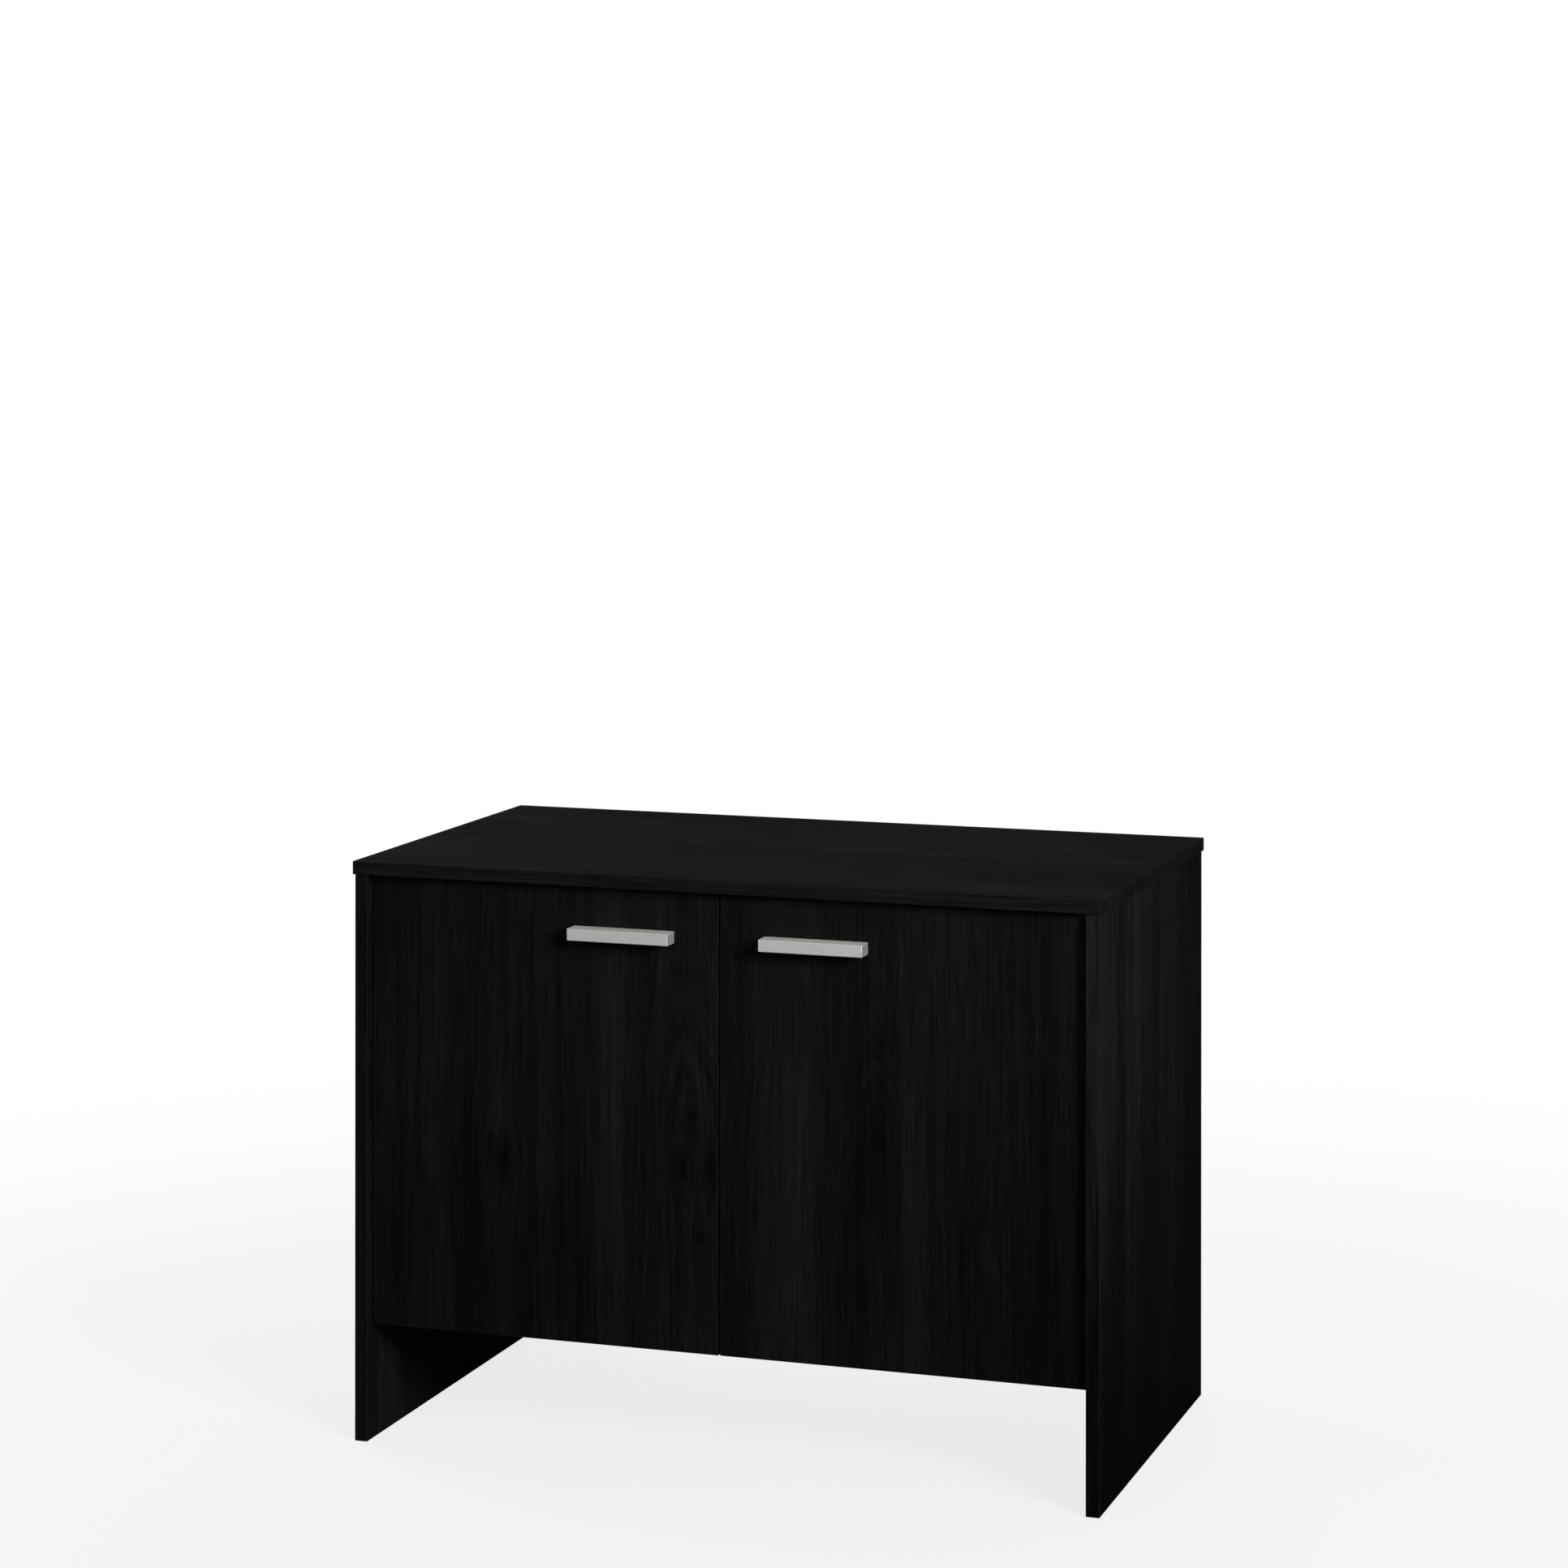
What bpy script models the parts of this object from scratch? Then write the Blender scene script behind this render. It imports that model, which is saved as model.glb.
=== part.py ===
"""Two-door base cabinet for a tank or vivarium, in metres, +Z up.

The world origin is on the floor, in the middle of the outline from the handles'
front faces to the top panel's rear edge. +X is to the right of a person facing the
doors, and +Y runs from the doors to the rear.
The cabinet is flat-pack board furniture: full-height sides whose lower ends are
the legs, a top panel laid over them, a raised base, a centre divider, a thin back,
one shelf a bay, and two inset doors on concealed cup hinges.

Every size below is in millimetres. MM turns it into metres where geometry is made.
"""

import math

import bmesh
import bpy
from mathutils import Matrix, Vector

MM = 0.001

# ---- carcass ------------------------------------------------------------------

WIDTH = 862.0  # top panel, left to right
DEPTH = 490.0  # top panel, front to rear
HEIGHT = 650.0  # floor to the top panel's upper face
BOARD = 15.0  # every thick board
GAP = 0.3  # between pieces that touch

TOP_FRONT_Y = -241.0
TOP_REAR_Y = TOP_FRONT_Y + DEPTH
TOP_UNDERSIDE_Z = HEIGHT - BOARD
CARCASS_TOP_Z = TOP_UNDERSIDE_Z - GAP  # upper ends of the upright boards

SIDE_OUTER_X = WIDTH / 2 - 2.0
SIDE_INNER_X = SIDE_OUTER_X - BOARD
SIDE_FRONT_Y = TOP_FRONT_Y + 2.5
SIDE_REAR_Y = TOP_REAR_Y - 3.5

DOOR_RECESS = 12.0  # door face behind the sides' front edges
DOOR_GAP = 2.0  # beside each door, and between the two
DOOR_STOP_GAP = 2.0  # from a door's rear face to the base and the divider
DOOR_BOTTOM_Z = 130.0
DOOR_TOP_Z = TOP_UNDERSIDE_Z - 3.0
DOOR_MID_Z = (DOOR_BOTTOM_Z + DOOR_TOP_Z) / 2
DOOR_FRONT_Y = SIDE_FRONT_Y + DOOR_RECESS
DOOR_REAR_Y = DOOR_FRONT_Y + BOARD
DOOR_STOP_Y = DOOR_REAR_Y + DOOR_STOP_GAP  # front edges of the base and the divider
DOOR_HINGE_X = SIDE_INNER_X - DOOR_GAP
DOOR_FREE_X = DOOR_GAP / 2

BASE_BOTTOM_Z = DOOR_BOTTOM_Z + 1.0
BASE_TOP_Z = BASE_BOTTOM_Z + BOARD
BACK_THICK = 3.0
BACK_HALF_WIDTH = SIDE_OUTER_X - 2.0
CABLE_HOLE_R = 30.0
CABLE_HOLE_X = 330.0
CABLE_HOLE_Z = 560.0

# ---- shelves, shelf pins and cam locks ----------------------------------------

SHELF_BOTTOM_Z = 378.0
SHELF_FRONT_Y = -186.0
SHELF_REAR_Y = 242.0
SHELF_END_GAP = 1.8

PIN_R = 2.4
PIN_HOLE_R = 2.9
PIN_HOLE_DEPTH = 6.5
PIN_Y = {"front": -136.0, "rear": 194.0}
PIN_Z = SHELF_BOTTOM_Z - GAP - PIN_R
PIN_STEP_Z = 64.0  # spare rows above and below the one in use
PIN_PEG_END = 8.0
PIN_SHANK_END = 0.4 - PIN_HOLE_DEPTH
PIN_COLLAR_R = 4.2
PIN_COLLAR_TOP = 1.3

# (radius, height above the board's face): the peg is above it, the shank below.
PIN_PROFILE = [
    (0.0, PIN_PEG_END),
    (PIN_R, PIN_PEG_END),
    (PIN_R, PIN_COLLAR_TOP),
    (PIN_COLLAR_R, PIN_COLLAR_TOP),
    (PIN_COLLAR_R, GAP),
    (PIN_R, GAP),
    (PIN_R, PIN_SHANK_END),
    (0.0, PIN_SHANK_END),
]

CAM_R = 7.3
CAM_HOLE_R = 7.75
CAM_DEPTH = 12.0
CAM_INSET = 34.0  # cam centre from the board's end
CAM_Y = {"front": -161.0, "rear": 209.0}
CAM_SIDES = 18
CROSS_LENGTH = 8.4
CROSS_WIDTH = 1.8
CROSS_DEPTH = 3.0

# ---- handles, their screws and the door bumpers -------------------------------

HANDLE_LENGTH = 118.0
HANDLE_HEIGHT = 13.4
HANDLE_DEPTH = 22.2
HANDLE_EDGE_ROUND = 0.6
HANDLE_NEAR_X = 52.0  # end nearest the split between the doors
HANDLE_MID_X = HANDLE_NEAR_X + HANDLE_LENGTH / 2
HANDLE_MID_Z = 583.0
HANDLE_BACK_Y = DOOR_FRONT_Y - GAP
HANDLE_HOLES = 96.0  # between the two screw centres
HANDLE_HOLE_R = 2.3
HANDLE_HOLE_DEPTH = 14.0

SCOOP_HALF_LENGTH = 36.0
SCOOP_FRONT = 18.2  # ahead of the handle's back
SCOOP_REAR = 2.6  # ahead of the handle's back
SCOOP_TOP = 2.6  # above the handle's mid height
SCOOP_ROUND = 2.0

HANDLE_SCREW_R = 1.9
HANDLE_SCREW_TIP = -27.4
# (radius, height behind the door's rear face): the shank runs forward into the handle.
SCREW_PROFILE = [
    (0.0, 2.1),
    (0.7, 2.1),
    (1.6, 3.0),
    (3.4, 2.4),
    (4.0, 1.4),
    (4.0, GAP),
    (HANDLE_SCREW_R, GAP),
    (HANDLE_SCREW_R, HANDLE_SCREW_TIP),
    (0.0, HANDLE_SCREW_TIP),
]

BUMPER_HEIGHT = DOOR_STOP_GAP - GAP
# level, distance from the cabinet's middle, z, radius
BUMPERS = [
    ("upper", 4.3, 618.0, 2.8),
    ("lower", 40.0, BASE_BOTTOM_Z + BOARD / 2, 4.0),
]

# ---- hinges: plan places are (inwards from the side, behind the door face) ----

HINGE_INSET_Z = 100.0  # hinge centre from the door's end
HINGE_Z = {
    "lower": DOOR_BOTTOM_Z + HINGE_INSET_Z,
    "upper": DOOR_TOP_Z - HINGE_INSET_Z,
}
HINGE_PIN_R = 1.2
HINGE_PIN_HOLE_R = 1.5

CUP_FROM_SIDE = 23.5  # cup centre from the side panel's inner face
CUP_R = 17.35
CUP_HOLE_R = 17.65
CUP_HOLE_DEPTH = 12.0
CUP_CAVITY_R = 16.4
CUP_FLANGE_R = 19.5
CUP_FLANGE_UNDER = BOARD + GAP
CUP_FLANGE_TOP = 16.5
CUP_FLOOR = 4.4
CUP_BOTTOM = 3.4
# (radius, distance behind the door face)
CUP_PROFILE = [
    (0.0, CUP_FLOOR),
    (CUP_CAVITY_R - 1.0, CUP_FLOOR),
    (CUP_CAVITY_R, CUP_FLOOR + 1.0),
    (CUP_CAVITY_R, CUP_FLANGE_TOP),
    (CUP_FLANGE_R, CUP_FLANGE_TOP),
    (CUP_FLANGE_R, CUP_FLANGE_UNDER),
    (CUP_R, CUP_FLANGE_UNDER),
    (CUP_R, CUP_BOTTOM + 1.0),
    (CUP_R - 1.0, CUP_BOTTOM),
    (0.0, CUP_BOTTOM),
]
WING_ROOT = 16.95  # above and below the cup's centre
WING_REACH = 26.0
WING_HALF_WIDTH = 7.0
WING_BEHIND = (15.36, 16.42)
WING_HOLE_R = 2.1
WING_HOLE_OFFSET = 22.5
WING_HOLE_BEHIND = 16.0

ARM_PIVOT = (16.5, 16.5)
ARM_EYE_R = 3.2
ARM_HALF_WIDTH = 8.0
# The flat bar behind the arm's eye, once round from the eye's inward side.
ARM_BAR = [(13.0, 32.0), (13.0, 75.0), (12.0, 76.0), (7.4, 76.0), (6.4, 75.0), (6.4, 28.0)]
ARM_MOUTH_R = ARM_EYE_R + 1.2
ARM_HOLE_INWARDS = 9.7
# tag, distance behind the door face, radius
ARM_HOLES = [("a", 52.0, 2.3), ("b", 66.0, 3.0)]

LINK_LENGTH = 20.8
LINK_REST_DEG = -24.0
LINK_HALF_WIDTH = 6.0
LINK_EYE_R = 3.0
LINK_END_R = 2.6

# The plate is a rail and a crossing foot, each with spans in plan and a half height.
RAIL_INWARDS = (GAP, 6.0)
RAIL_BEHIND = (37.0, 76.0)
RAIL_HALF_HEIGHT = 6.5
FOOT_INWARDS = (GAP + 0.05, 2.2)
FOOT_BEHIND = (48.0, 64.0)
FOOT_HALF_HEIGHT = 23.0
FOOT_HOLE_R = 2.5
FOOT_HOLE_PLACE = (1.0, sum(FOOT_BEHIND) / 2)
FOOT_HOLE_OFFSET = 16.0

# ---- repeats, directions and finishes -----------------------------------------

SIDES = {"left": -1.0, "right": 1.0}
ENDS = {"a": -1.0, "b": 1.0}  # the two ends of a piece, low and high

# Rotations that lay a piece's own z along a world axis.
AXIS_TURN = {
    "z": (0.0, 0.0, 0.0),
    "y": (math.radians(-90.0), 0.0, 0.0),
    "x": (0.0, math.radians(90.0), 0.0),
}
# Rotations that point a piece's own +z in a world direction.
LOOK_TURN = {
    (1.0, 0.0, 0.0): (0.0, math.radians(90.0), 0.0),
    (-1.0, 0.0, 0.0): (0.0, math.radians(-90.0), 0.0),
    (0.0, 0.0, -1.0): (math.radians(180.0), 0.0, 0.0),
}
FORWARDS = (0.0, -1.0, 0.0)

FINISHES = {
    "board": dict(colour=(0.008, 0.0075, 0.007), roughness=0.45, metallic=0.0),
    "hardboard": dict(colour=(0.012, 0.011, 0.010), roughness=0.6, metallic=0.0),
    "handle": dict(colour=(0.62, 0.62, 0.60), roughness=0.32, metallic=1.0),
    "steel": dict(colour=(0.55, 0.55, 0.53), roughness=0.28, metallic=1.0),
    "zinc": dict(colour=(0.42, 0.42, 0.41), roughness=0.42, metallic=1.0),
    "rubber": dict(colour=(0.35, 0.35, 0.34), roughness=0.5, metallic=0.0),
}

# ---- scene and materials ------------------------------------------------------

for obj in list(bpy.data.objects):
    bpy.data.objects.remove(obj, do_unlink=True)

PARTS = bpy.data.collections.new("aquarium_stand_cabinet")
CUTTERS = bpy.data.collections.new("cutters")
bpy.context.scene.collection.children.link(PARTS)
bpy.context.scene.collection.children.link(CUTTERS)
CUTTERS.hide_render = True


def make_material(name, colour, roughness, metallic):
    material = bpy.data.materials.new(name)
    material.use_nodes = True
    shader = material.node_tree.nodes["Principled BSDF"]
    shader.inputs["Base Color"].default_value = (*colour, 1.0)
    shader.inputs["Roughness"].default_value = roughness
    shader.inputs["Metallic"].default_value = metallic
    material.diffuse_color = (*colour, 1.0)
    return material


def finish(piece, kind):
    """Gives a piece a material of its own, named after it."""
    piece.data.materials.append(make_material(piece.name, **FINISHES[kind]))


# ---- basic shapes -------------------------------------------------------------


def take_active(name, collection):
    """Names the object just added, and moves it to its collection."""
    obj = bpy.context.view_layer.objects.active
    for old in list(obj.users_collection):
        old.objects.unlink(obj)
    collection.objects.link(obj)
    obj.name = name
    obj.data.name = name
    return obj


def hang_on(obj, parent):
    """Parents an unparented object to an unrotated one, and leaves it in place."""
    obj.location -= parent.location
    obj.parent = parent


def box(name, corner, opposite, collection=PARTS, parent=None):
    """A box between two opposite corners, with its scale applied."""
    centre = [(a + b) / 2 * MM for a, b in zip(corner, opposite)]
    size = [abs(b - a) * MM for a, b in zip(corner, opposite)]
    bpy.ops.mesh.primitive_cube_add(size=1.0, location=centre)
    obj = take_active(name, collection)
    obj.data.transform(Matrix.Diagonal(size + [1.0]))
    if parent is not None:
        hang_on(obj, parent)
    return obj


def cylinder(name, centre, radius, length, turn, sides, collection=PARTS):
    """A cylinder by its middle point and rotation."""
    bpy.ops.mesh.primitive_cylinder_add(
        vertices=sides,
        radius=radius * MM,
        depth=length * MM,
        location=[c * MM for c in centre],
        rotation=turn,
    )
    obj = take_active(name, collection)
    obj.data.shade_smooth()
    obj.data.set_sharp_from_angle(angle=math.radians(35.0))
    return obj


def turned(name, profile, centre, turn, sides, parent=None):
    """A turned piece from (radius, height) points: down the outer side, then to the axis."""
    mesh = bpy.data.meshes.new(name)
    form = bmesh.new()
    points = [form.verts.new((r * MM, 0.0, h * MM)) for r, h in profile]
    for start, end in zip(points, points[1:]):
        form.edges.new((start, end))
    form.to_mesh(mesh)
    form.free()
    obj = bpy.data.objects.new(name, mesh)
    PARTS.objects.link(obj)
    obj.location = [c * MM for c in centre]
    obj.rotation_euler = turn
    if parent is not None:
        hang_on(obj, parent)
    screw = obj.modifiers.new("turn", "SCREW")
    screw.axis = "Z"
    screw.angle = math.radians(360.0)
    screw.steps = sides
    screw.render_steps = sides
    screw.use_merge_vertices = True
    screw.merge_threshold = 0.00001
    screw.use_smooth_shade = True
    return obj


def arc(centre, radius, start_deg, end_deg, steps):
    """Points along an arc."""
    step_deg = (end_deg - start_deg) / steps
    angles = [math.radians(start_deg + step_deg * i) for i in range(steps + 1)]
    return [
        (centre[0] + radius * math.cos(angle), centre[1] + radius * math.sin(angle))
        for angle in angles
    ]


def from_side(sign, inwards, behind):
    """World (x, y) of a point measured from a side's inner face and from the door face."""
    return sign * (SIDE_INNER_X - inwards), DOOR_FRONT_Y + behind


def plan_outline(name, points, thickness, sign, z):
    """A mesh from (inwards, behind) points, thickened equally above and below z."""
    curve = bpy.data.curves.new(name + "_outline", "CURVE")
    curve.dimensions = "2D"
    curve.fill_mode = "BOTH"
    curve.extrude = thickness / 2 * MM
    spline = curve.splines.new("POLY")
    spline.points.add(len(points) - 1)
    for point, (inwards, behind) in zip(spline.points, points):
        point.co = (-sign * inwards * MM, behind * MM, 0.0, 1.0)
    spline.use_cyclic_u = True
    guide = bpy.data.objects.new(name + "_outline", curve)
    CUTTERS.objects.link(guide)
    bpy.context.view_layer.update()
    graph = bpy.context.evaluated_depsgraph_get()
    mesh = bpy.data.meshes.new_from_object(guide.evaluated_get(graph))
    bpy.data.objects.remove(guide, do_unlink=True)

    # Weld the caps to the walls.
    form = bmesh.new()
    form.from_mesh(mesh)
    bmesh.ops.remove_doubles(form, verts=form.verts, dist=0.000001)
    bmesh.ops.recalc_face_normals(form, faces=form.faces)
    form.to_mesh(mesh)
    form.free()
    obj = bpy.data.objects.new(name, mesh)
    PARTS.objects.link(obj)
    obj.matrix_world = Matrix.Translation(
        (sign * SIDE_INNER_X * MM, DOOR_FRONT_Y * MM, z * MM)
    )
    return obj


def set_origin(obj, point):
    """Moves an object's origin to a world point, and leaves its shape in place."""
    shift = obj.matrix_world.inverted() @ (Vector(point) * MM)
    obj.data.transform(Matrix.Translation(-shift))
    obj.matrix_world = obj.matrix_world @ Matrix.Translation(shift)


# ---- cutting, joining and rounding --------------------------------------------


def as_cutter(obj):
    obj.hide_render = True
    obj.display_type = "WIRE"
    return obj


def cutter_group(name):
    group = bpy.data.collections.new(name)
    CUTTERS.children.link(group)
    return group


def hole(group, name, centre, radius, length, axis, sides):
    """Adds a cylindrical cutter to a group."""
    turn = AXIS_TURN[axis]
    as_cutter(cylinder("cut_" + name, centre, radius, length, turn, sides, group))


def blind_hole(group, name, mouth, inward, radius, depth, sides, overcut=2.0):
    """Adds a hole of a depth along the unit axis inward; overcut stands out of the mouth."""
    centre = [m + d * (depth - overcut) / 2 for m, d in zip(mouth, inward)]
    axis = next(letter for letter, d in zip("xyz", inward) if d)
    hole(group, name, centre, radius, depth + overcut, axis, sides)


def cut_all(obj, group):
    """Takes every cutter of the group away from the object."""
    modifier = obj.modifiers.new("cuts", "BOOLEAN")
    modifier.operation = "DIFFERENCE"
    modifier.operand_type = "COLLECTION"
    modifier.collection = group
    modifier.solver = "EXACT"


def join_box(obj, name, corner, opposite):
    """Joins a box to the object."""
    other = as_cutter(box(name, corner, opposite, CUTTERS))
    modifier = obj.modifiers.new("join_" + other.name, "BOOLEAN")
    modifier.operation = "UNION"
    modifier.object = other
    modifier.solver = "EXACT"


def rounded(obj, width, segments):
    bevel = obj.modifiers.new("edges", "BEVEL")
    bevel.width = width * MM
    bevel.segments = segments
    bevel.limit_method = "ANGLE"
    bevel.angle_limit = math.radians(30.0)


# ---- carcass boards and cam locks ---------------------------------------------


def pin_columns(group, name, face_x, inward):
    """Shelf-pin holes into a face at x, running towards inward (-1 or +1)."""
    for row in (-1, 0, 1):
        for tag, y in PIN_Y.items():
            blind_hole(
                group,
                f"{name}_{tag}_{row + 1}",
                (face_x, y, PIN_Z + row * PIN_STEP_Z),
                (inward, 0.0, 0.0),
                PIN_HOLE_R,
                PIN_HOLE_DEPTH,
                sides=10,
            )


def build_cam_lock(name, face, look, board_cuts):
    """A disc flush with a board, looking out of it, with a cross recess, and its hole."""
    inward = [-d for d in look]
    hole_depth = CAM_DEPTH + 2 * GAP
    blind_hole(board_cuts, name, face, inward, CAM_HOLE_R, hole_depth, CAM_SIDES)

    middle = [f + d * CAM_DEPTH / 2 for f, d in zip(face, inward)]
    cam = cylinder(name, middle, CAM_R, CAM_DEPTH, LOOK_TURN[look], CAM_SIDES)
    finish(cam, "zinc")
    cross = cutter_group("cuts_" + name)
    for tag, length_x, length_y in (
        ("a", CROSS_LENGTH, CROSS_WIDTH),
        ("b", CROSS_WIDTH, CROSS_LENGTH),
    ):
        corner = (length_x / 2, length_y / 2, CROSS_DEPTH)
        slot = box(f"cut_{name}_{tag}", [-c for c in corner], corner, cross)
        slot.location = Vector(face) * MM
        slot.rotation_euler = LOOK_TURN[look]
        as_cutter(slot)
    cut_all(cam, cross)


def build_top_panel():
    panel = box(
        "top_panel",
        (-WIDTH / 2, TOP_FRONT_Y, TOP_UNDERSIDE_Z),
        (WIDTH / 2, TOP_REAR_Y, HEIGHT),
    )
    finish(panel, "board")


def build_side_panel(side, sign):
    panel = box(
        "side_panel_" + side,
        (sign * SIDE_OUTER_X, SIDE_FRONT_Y, 0.0),
        (sign * SIDE_INNER_X, SIDE_REAR_Y, CARCASS_TOP_Z),
    )
    finish(panel, "board")
    cuts = cutter_group("side_cuts_" + side)
    pin_columns(cuts, "side_" + side, sign * SIDE_INNER_X, sign)
    for tag, y in CAM_Y.items():
        face = (sign * SIDE_INNER_X, y, CARCASS_TOP_Z - CAM_INSET)
        build_cam_lock(f"cam_lock_{side}_top_{tag}", face, (-sign, 0.0, 0.0), cuts)
    cut_all(panel, cuts)


def build_base_panel():
    half_width = SIDE_INNER_X - GAP
    panel = box(
        "base_panel",
        (-half_width, DOOR_STOP_Y, BASE_BOTTOM_Z),
        (half_width, SIDE_REAR_Y, BASE_TOP_Z),
    )
    finish(panel, "board")
    cuts = cutter_group("base_cuts")
    for side, sign in SIDES.items():
        for tag, y in CAM_Y.items():
            face = (sign * (half_width - CAM_INSET), y, BASE_BOTTOM_Z)
            build_cam_lock(f"cam_lock_{side}_base_{tag}", face, (0.0, 0.0, -1.0), cuts)
    cut_all(panel, cuts)


def build_centre_divider():
    bottom_z = BASE_TOP_Z + GAP
    divider = box(
        "centre_divider",
        (-BOARD / 2, DOOR_STOP_Y, bottom_z),
        (BOARD / 2, SIDE_REAR_Y, CARCASS_TOP_Z),
    )
    finish(divider, "board")
    cuts = cutter_group("divider_cuts")
    pin_columns(cuts, "divider_left", -BOARD / 2, 1.0)
    pin_columns(cuts, "divider_right", BOARD / 2, -1.0)
    for level, z in (("top", CARCASS_TOP_Z - CAM_INSET), ("base", bottom_z + CAM_INSET)):
        for tag, y in CAM_Y.items():
            name = f"cam_lock_divider_{level}_{tag}"
            build_cam_lock(name, (-BOARD / 2, y, z), (-1.0, 0.0, 0.0), cuts)
    cut_all(divider, cuts)


def build_back_panel():
    front_y = SIDE_REAR_Y + GAP
    panel = box(
        "back_panel",
        (-BACK_HALF_WIDTH, front_y, BASE_BOTTOM_Z),
        (BACK_HALF_WIDTH, front_y + BACK_THICK, CARCASS_TOP_Z),
    )
    finish(panel, "hardboard")
    cuts = cutter_group("back_cuts")
    for side, sign in SIDES.items():
        centre = (sign * CABLE_HOLE_X, front_y + BACK_THICK / 2, CABLE_HOLE_Z)
        length = BACK_THICK + 10.0
        hole(cuts, "cable_hole_" + side, centre, CABLE_HOLE_R, length, "y", sides=32)
    cut_all(panel, cuts)


# ---- shelves ------------------------------------------------------------------


def build_shelf(side, sign):
    """One bay's shelf and its four pins."""
    shelf = box(
        "shelf_" + side,
        (sign * (BOARD / 2 + SHELF_END_GAP), SHELF_FRONT_Y, SHELF_BOTTOM_Z),
        (sign * (SIDE_INNER_X - SHELF_END_GAP), SHELF_REAR_Y, SHELF_BOTTOM_Z + BOARD),
    )
    finish(shelf, "board")
    # end, the face its pins stand on, and the way they look
    for end, face_x, look in (
        ("outer", sign * SIDE_INNER_X, -sign),
        ("inner", sign * BOARD / 2, sign),
    ):
        for tag, y in PIN_Y.items():
            pin = turned(
                f"shelf_pin_{side}_{end}_{tag}",
                PIN_PROFILE,
                (face_x, y, PIN_Z),
                LOOK_TURN[(look, 0.0, 0.0)],
                sides=12,
            )
            finish(pin, "zinc")


# ---- doors, handles, screws and bumpers ---------------------------------------


def build_joint(name, x, y, display_size):
    """An empty on a vertical axis, at the doors' mid height."""
    joint = bpy.data.objects.new(name, None)
    joint.empty_display_size = display_size
    joint.location = (x * MM, y * MM, DOOR_MID_Z * MM)
    PARTS.objects.link(joint)
    return joint


def handle_screw_places(sign):
    """(tag, x) of a handle's two screws."""
    return [(tag, sign * HANDLE_MID_X + end * HANDLE_HOLES / 2) for tag, end in ENDS.items()]


def build_door(side, sign, pivot):
    door = box(
        "door_" + side,
        (sign * DOOR_FREE_X, DOOR_FRONT_Y, DOOR_BOTTOM_Z),
        (sign * DOOR_HINGE_X, DOOR_REAR_Y, DOOR_TOP_Z),
        parent=pivot,
    )
    finish(door, "board")
    cuts = cutter_group("door_cuts_" + side)
    cup_x = sign * (SIDE_INNER_X - CUP_FROM_SIDE)
    for level, z in HINGE_Z.items():
        blind_hole(
            cuts,
            f"cup_{side}_{level}",
            (cup_x, DOOR_REAR_Y, z),
            FORWARDS,
            CUP_HOLE_R,
            CUP_HOLE_DEPTH,
            sides=24,
        )
    for tag, x in handle_screw_places(sign):
        centre = (x, (DOOR_FRONT_Y + DOOR_REAR_Y) / 2, HANDLE_MID_Z)
        name = f"door_screw_{side}_{tag}"
        hole(cuts, name, centre, HANDLE_HOLE_R, BOARD + 4.0, "y", sides=16)
    cut_all(door, cuts)


def build_handle(side, sign, pivot):
    middle_x = sign * HANDLE_MID_X
    bottom_z = HANDLE_MID_Z - HANDLE_HEIGHT / 2
    handle = box(
        "handle_" + side,
        (middle_x - HANDLE_LENGTH / 2, HANDLE_BACK_Y - HANDLE_DEPTH, bottom_z),
        (middle_x + HANDLE_LENGTH / 2, HANDLE_BACK_Y, HANDLE_MID_Z + HANDLE_HEIGHT / 2),
        parent=pivot,
    )
    rounded(handle, HANDLE_EDGE_ROUND, segments=1)
    finish(handle, "handle")
    cuts = cutter_group("handle_cuts_" + side)
    # The finger recess is scooped from below, between two closed ends.
    scoop = box(
        "cut_scoop_" + side,
        (middle_x - SCOOP_HALF_LENGTH, HANDLE_BACK_Y - SCOOP_FRONT, bottom_z - 4.0),
        (middle_x + SCOOP_HALF_LENGTH, HANDLE_BACK_Y - SCOOP_REAR, HANDLE_MID_Z + SCOOP_TOP),
        cuts,
    )
    rounded(scoop, SCOOP_ROUND, segments=2)
    as_cutter(scoop)
    for tag, x in handle_screw_places(sign):
        blind_hole(
            cuts,
            f"handle_screw_{side}_{tag}",
            (x, HANDLE_BACK_Y, HANDLE_MID_Z),
            FORWARDS,
            HANDLE_HOLE_R,
            HANDLE_HOLE_DEPTH,
            sides=16,
            overcut=4.0,
        )
    cut_all(handle, cuts)


def build_handle_screws(side, sign, pivot):
    for tag, x in handle_screw_places(sign):
        name = f"handle_screw_{side}_{tag}"
        place = (x, DOOR_REAR_Y, HANDLE_MID_Z)
        finish(turned(name, SCREW_PROFILE, place, AXIS_TURN["y"], 12, pivot), "steel")


def build_bumpers(side, sign, pivot):
    for level, from_middle, z, radius in BUMPERS:
        # (radius, height behind the door's rear face)
        profile = [
            (0.0, BUMPER_HEIGHT),
            (radius - 1.0, BUMPER_HEIGHT),
            (radius, 1.1),
            (radius, GAP),
            (0.0, GAP),
        ]
        name = f"door_bumper_{side}_{level}"
        place = (sign * from_middle, DOOR_REAR_Y, z)
        finish(turned(name, profile, place, AXIS_TURN["y"], 16, pivot), "rubber")


# ---- concealed hinges ---------------------------------------------------------


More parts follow.
